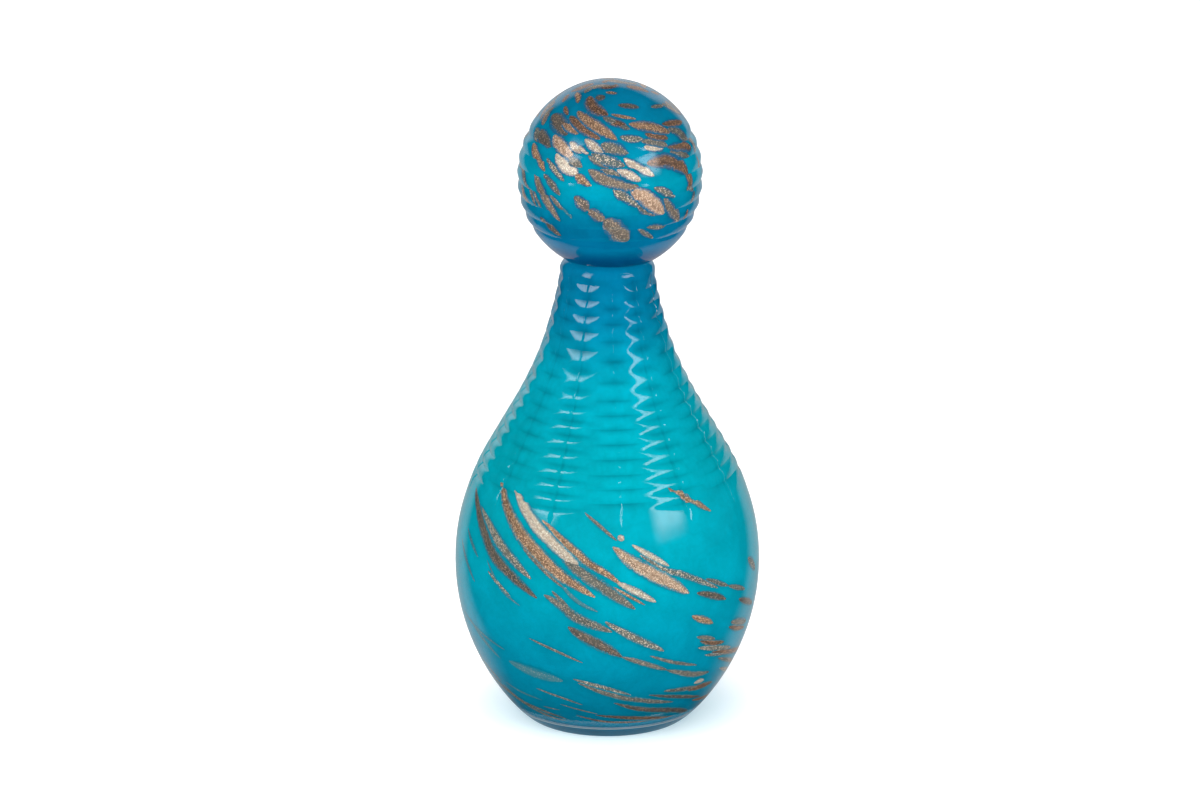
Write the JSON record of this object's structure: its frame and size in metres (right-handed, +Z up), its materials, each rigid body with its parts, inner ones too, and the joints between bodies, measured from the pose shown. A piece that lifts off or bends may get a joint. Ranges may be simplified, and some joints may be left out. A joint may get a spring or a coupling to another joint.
{
  "type": "decorative glass bottle",
  "caption": "Round-bellied decorative bottle in cased and cut glass with a tapering neck, copper glitter streaks under a clear casing, and a lift-off ball stopper with a ground peg.",
  "frame": {"origin": "middle of the foot, on the surface that the bottle stands on", "axes": "+Z up the bottle's axis, -Y towards the front that the picture shows, +X to its right"},
  "size_m": [0.1552, 0.1552, 0.3322],
  "materials": {
    "clear_crystal": "polished, with polished cuts",
    "turquoise_opaline": "opaque, fire-polished, fused under the casing",
    "copper_glitter_glass": "sparkling copper flakes in glass, fused under the casing",
    "ground_glass": "ground matt"
  },
  "bodies": {
    "bottle": {"bottle_casing": "clear_crystal", "bottle_core": "turquoise_opaline", "bottle_streak_01": "copper_glitter_glass", "bottle_streak_02": "copper_glitter_glass", "bottle_streak_03": "copper_glitter_glass", "bottle_streak_04": "copper_glitter_glass", "bottle_streak_05": "copper_glitter_glass", "bottle_streak_06": "copper_glitter_glass", "bottle_streak_07": "copper_glitter_glass", "bottle_streak_08": "copper_glitter_glass", "bottle_streak_09": "copper_glitter_glass", "bottle_streak_10": "copper_glitter_glass", "bottle_streak_11": "copper_glitter_glass", "bottle_streak_12": "copper_glitter_glass", "bottle_streak_13": "copper_glitter_glass", "bottle_streak_14": "copper_glitter_glass", "bottle_streak_15": "copper_glitter_glass", "bottle_streak_16": "copper_glitter_glass", "bottle_streak_17": "copper_glitter_glass", "bottle_streak_18": "copper_glitter_glass", "bottle_streak_19": "copper_glitter_glass", "bottle_streak_20": "copper_glitter_glass", "bottle_streak_21": "copper_glitter_glass", "bottle_streak_22": "copper_glitter_glass", "bottle_streak_23": "copper_glitter_glass", "bottle_streak_24": "copper_glitter_glass", "bottle_streak_25": "copper_glitter_glass", "bottle_streak_26": "copper_glitter_glass", "bottle_streak_27": "copper_glitter_glass", "bottle_streak_28": "copper_glitter_glass", "bottle_streak_29": "copper_glitter_glass", "bottle_streak_30": "copper_glitter_glass", "bottle_streak_31": "copper_glitter_glass", "bottle_streak_32": "copper_glitter_glass"},
    "stopper": {"stopper_casing": "clear_crystal", "stopper_core": "turquoise_opaline", "stopper_peg": "ground_glass", "stopper_streak_01": "copper_glitter_glass", "stopper_streak_02": "copper_glitter_glass", "stopper_streak_03": "copper_glitter_glass", "stopper_streak_04": "copper_glitter_glass", "stopper_streak_05": "copper_glitter_glass", "stopper_streak_06": "copper_glitter_glass", "stopper_streak_07": "copper_glitter_glass", "stopper_streak_08": "copper_glitter_glass", "stopper_streak_09": "copper_glitter_glass", "stopper_streak_10": "copper_glitter_glass", "stopper_streak_11": "copper_glitter_glass", "stopper_streak_12": "copper_glitter_glass", "stopper_streak_13": "copper_glitter_glass", "stopper_streak_14": "copper_glitter_glass", "stopper_streak_15": "copper_glitter_glass", "stopper_streak_16": "copper_glitter_glass", "stopper_streak_17": "copper_glitter_glass", "stopper_streak_18": "copper_glitter_glass", "stopper_streak_19": "copper_glitter_glass"}
  },
  "joints": [
    {"name": "stopper_lift", "type": "slide", "parent": "bottle", "child": "stopper", "axis": [0, 0, 1], "range_m": [0, 0.06]}
  ]
}
